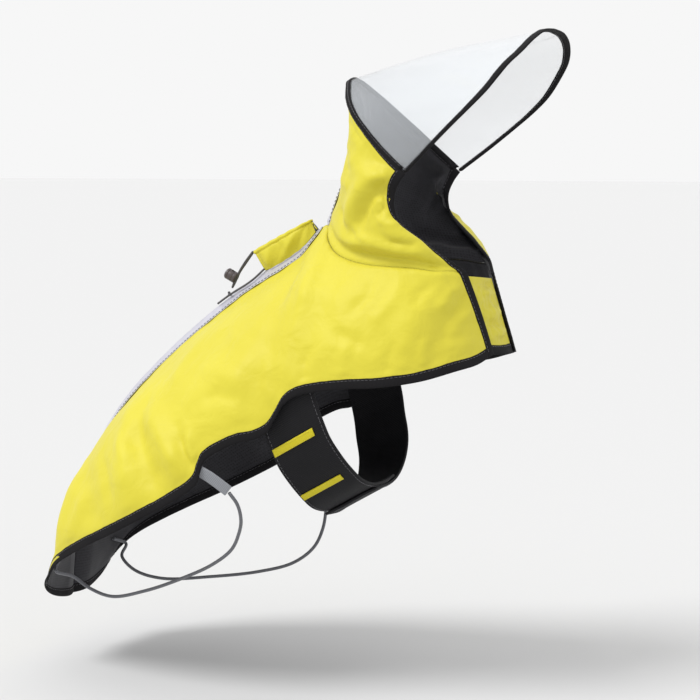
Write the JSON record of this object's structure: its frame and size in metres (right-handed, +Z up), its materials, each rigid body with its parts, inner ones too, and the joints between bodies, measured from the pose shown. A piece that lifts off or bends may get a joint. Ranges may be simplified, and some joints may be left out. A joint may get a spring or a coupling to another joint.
{
  "type": "dog raincoat",
  "caption": "Hooded raincoat for a small dog, worn and hollow, with a clear visor, bound edges, a back seam strip, a leash port, a belly band and elastic leg loops.",
  "frame": {"origin": "underside of the back seam where the coat rests on the withers, just behind the leash port", "axes": "+X the way the wearer faces, +Y the wearer's left, +Z up"},
  "size_m": [0.4594, 0.2332, 0.5062],
  "materials": {
    "coated_cloth": "smooth polyester with a waterproof coating, soft sheen",
    "clear_film": "clear flexible vinyl film",
    "edge_tape": "folded polyester binding tape, stitched",
    "reflective_strip": "reflective tape, satin silver",
    "black_webbing": "matt brushed band",
    "yellow_tape": "flat woven tape",
    "grey_webbing": "ribbed webbing",
    "elastic": "braided elastic",
    "cord": "round braided cord",
    "lock_plastic": "moulded nylon",
    "button_plastic": "moulded nylon"
  },
  "bodies": {
    "root": {"body_right": "coated_cloth", "body_left": "coated_cloth", "hood_right": "coated_cloth", "hood_left": "coated_cloth", "front_flap": "coated_cloth", "port_sleeve": "coated_cloth", "visor": "clear_film", "front_binding_right": "edge_tape", "front_binding_left": "edge_tape", "hem_binding": "edge_tape", "flap_hem_binding": "edge_tape", "visor_seam_binding": "edge_tape", "visor_rim_binding": "edge_tape", "reflective_strip_back": "reflective_strip", "reflective_strip_hood": "reflective_strip", "belly_band_right": "black_webbing", "belly_band_left": "black_webbing", "band_stripe_right_upper": "yellow_tape", "band_stripe_right_lower": "yellow_tape", "band_stripe_left_upper": "yellow_tape", "band_stripe_left_lower": "yellow_tape", "leg_tab_right": "grey_webbing", "leg_tab_left": "grey_webbing", "leg_elastic_right": "elastic", "leg_elastic_left": "elastic", "drawcord": "cord", "cord_tail": "cord", "cord_tail_end": "cord", "cord_tail_knot": "cord", "cord_lock_barrel": "lock_plastic", "cord_lock_button": "button_plastic"}
  },
  "joints": []
}
